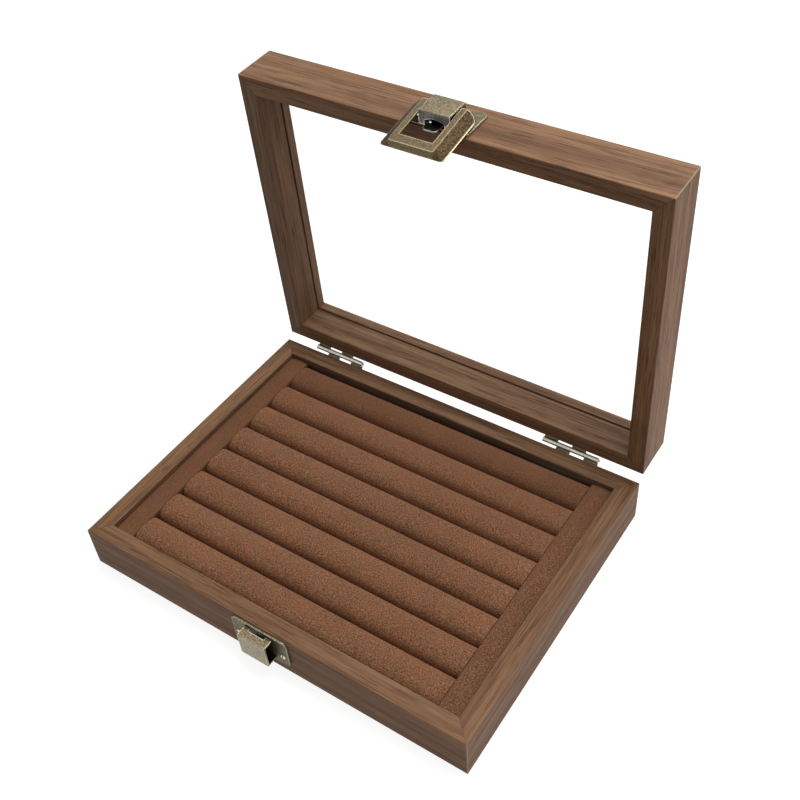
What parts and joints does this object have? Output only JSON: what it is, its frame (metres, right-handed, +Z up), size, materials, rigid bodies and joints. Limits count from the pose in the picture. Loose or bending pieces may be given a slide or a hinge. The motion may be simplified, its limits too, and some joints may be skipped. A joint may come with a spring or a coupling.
{
  "type": "ring display box",
  "caption": "Shallow hinged wooden box with a glazed lid, padded ring rolls between end bars, butt hinges and a pull-down hasp latch.",
  "frame": {"origin": "centre of the base's underside", "axes": "+X along the length, towards the right seen from the latch side; -Y is the latch side; +Z up"},
  "size_m": [0.2, 0.1819, 0.1836],
  "materials": {
    "walnut_veneer": "walnut veneer, satin lacquer",
    "fibreboard": "dark stained board",
    "card": "brown card",
    "suede": "brown microfibre suede",
    "clear_glass": "clear float glass",
    "nickel": "nickel-plated steel, polished",
    "screw_brass": "antique brass, worn",
    "antique_brass": "antique brass, brushed and worn"
  },
  "bodies": {
    "base": {"base_front_wall": "walnut_veneer", "base_rear_wall": "walnut_veneer", "base_left_wall": "walnut_veneer", "base_right_wall": "walnut_veneer", "bottom_panel": "fibreboard", "tray_board": "card", "end_bar_left": "suede", "end_bar_right": "suede", "ring_roll_1": "suede", "ring_roll_2": "suede", "ring_roll_3": "suede", "ring_roll_4": "suede", "ring_roll_5": "suede", "ring_roll_6": "suede", "ring_roll_7": "suede", "ring_roll_8": "suede", "keeper_plate": "antique_brass", "keeper_housing": "antique_brass", "keeper_screws": "screw_brass", "hinge_left_base_leaf": "nickel", "hinge_right_base_leaf": "nickel", "hinge_left_pin": "nickel", "hinge_right_pin": "nickel", "hinge_screws_base": "screw_brass"},
    "lid": {"lid_front_wall": "walnut_veneer", "lid_rear_wall": "walnut_veneer", "lid_left_wall": "walnut_veneer", "lid_right_wall": "walnut_veneer", "lid_glass": "clear_glass", "hinge_left_lid_leaf": "nickel", "hinge_right_lid_leaf": "nickel", "hinge_screws_lid": "screw_brass", "latch_plate": "antique_brass", "latch_tongue": "antique_brass", "tongue_rivet": "nickel", "latch_cap": "antique_brass", "latch_screws": "screw_brass"},
    "frame_pin": {"frame_pin": "nickel"},
    "latch_frame": {"latch_frame": "antique_brass"}
  },
  "joints": [
    {"name": "lid_hinge", "type": "hinge", "parent": "base", "child": "lid", "pos_m": [0, 0.0778, 0.0231], "axis": [1, 0, 0], "range_deg": [0, 88]},
    {"name": "frame_pin_turn", "type": "hinge", "parent": "lid", "child": "frame_pin", "pos_m": [0, 0.08223, 0.17985], "axis": [-1, 0, 0], "range_deg": [0, 15]},
    {"name": "frame_swing", "type": "hinge", "parent": "frame_pin", "child": "latch_frame", "pos_m": [0, 0.08223, 0.17985], "axis": [-1, 0, 0], "range_deg": [0, 84]}
  ],
  "couplings": [
    {"joint": "frame_pin_turn", "follows": "lid_hinge", "ratio": 0.17045}
  ]
}
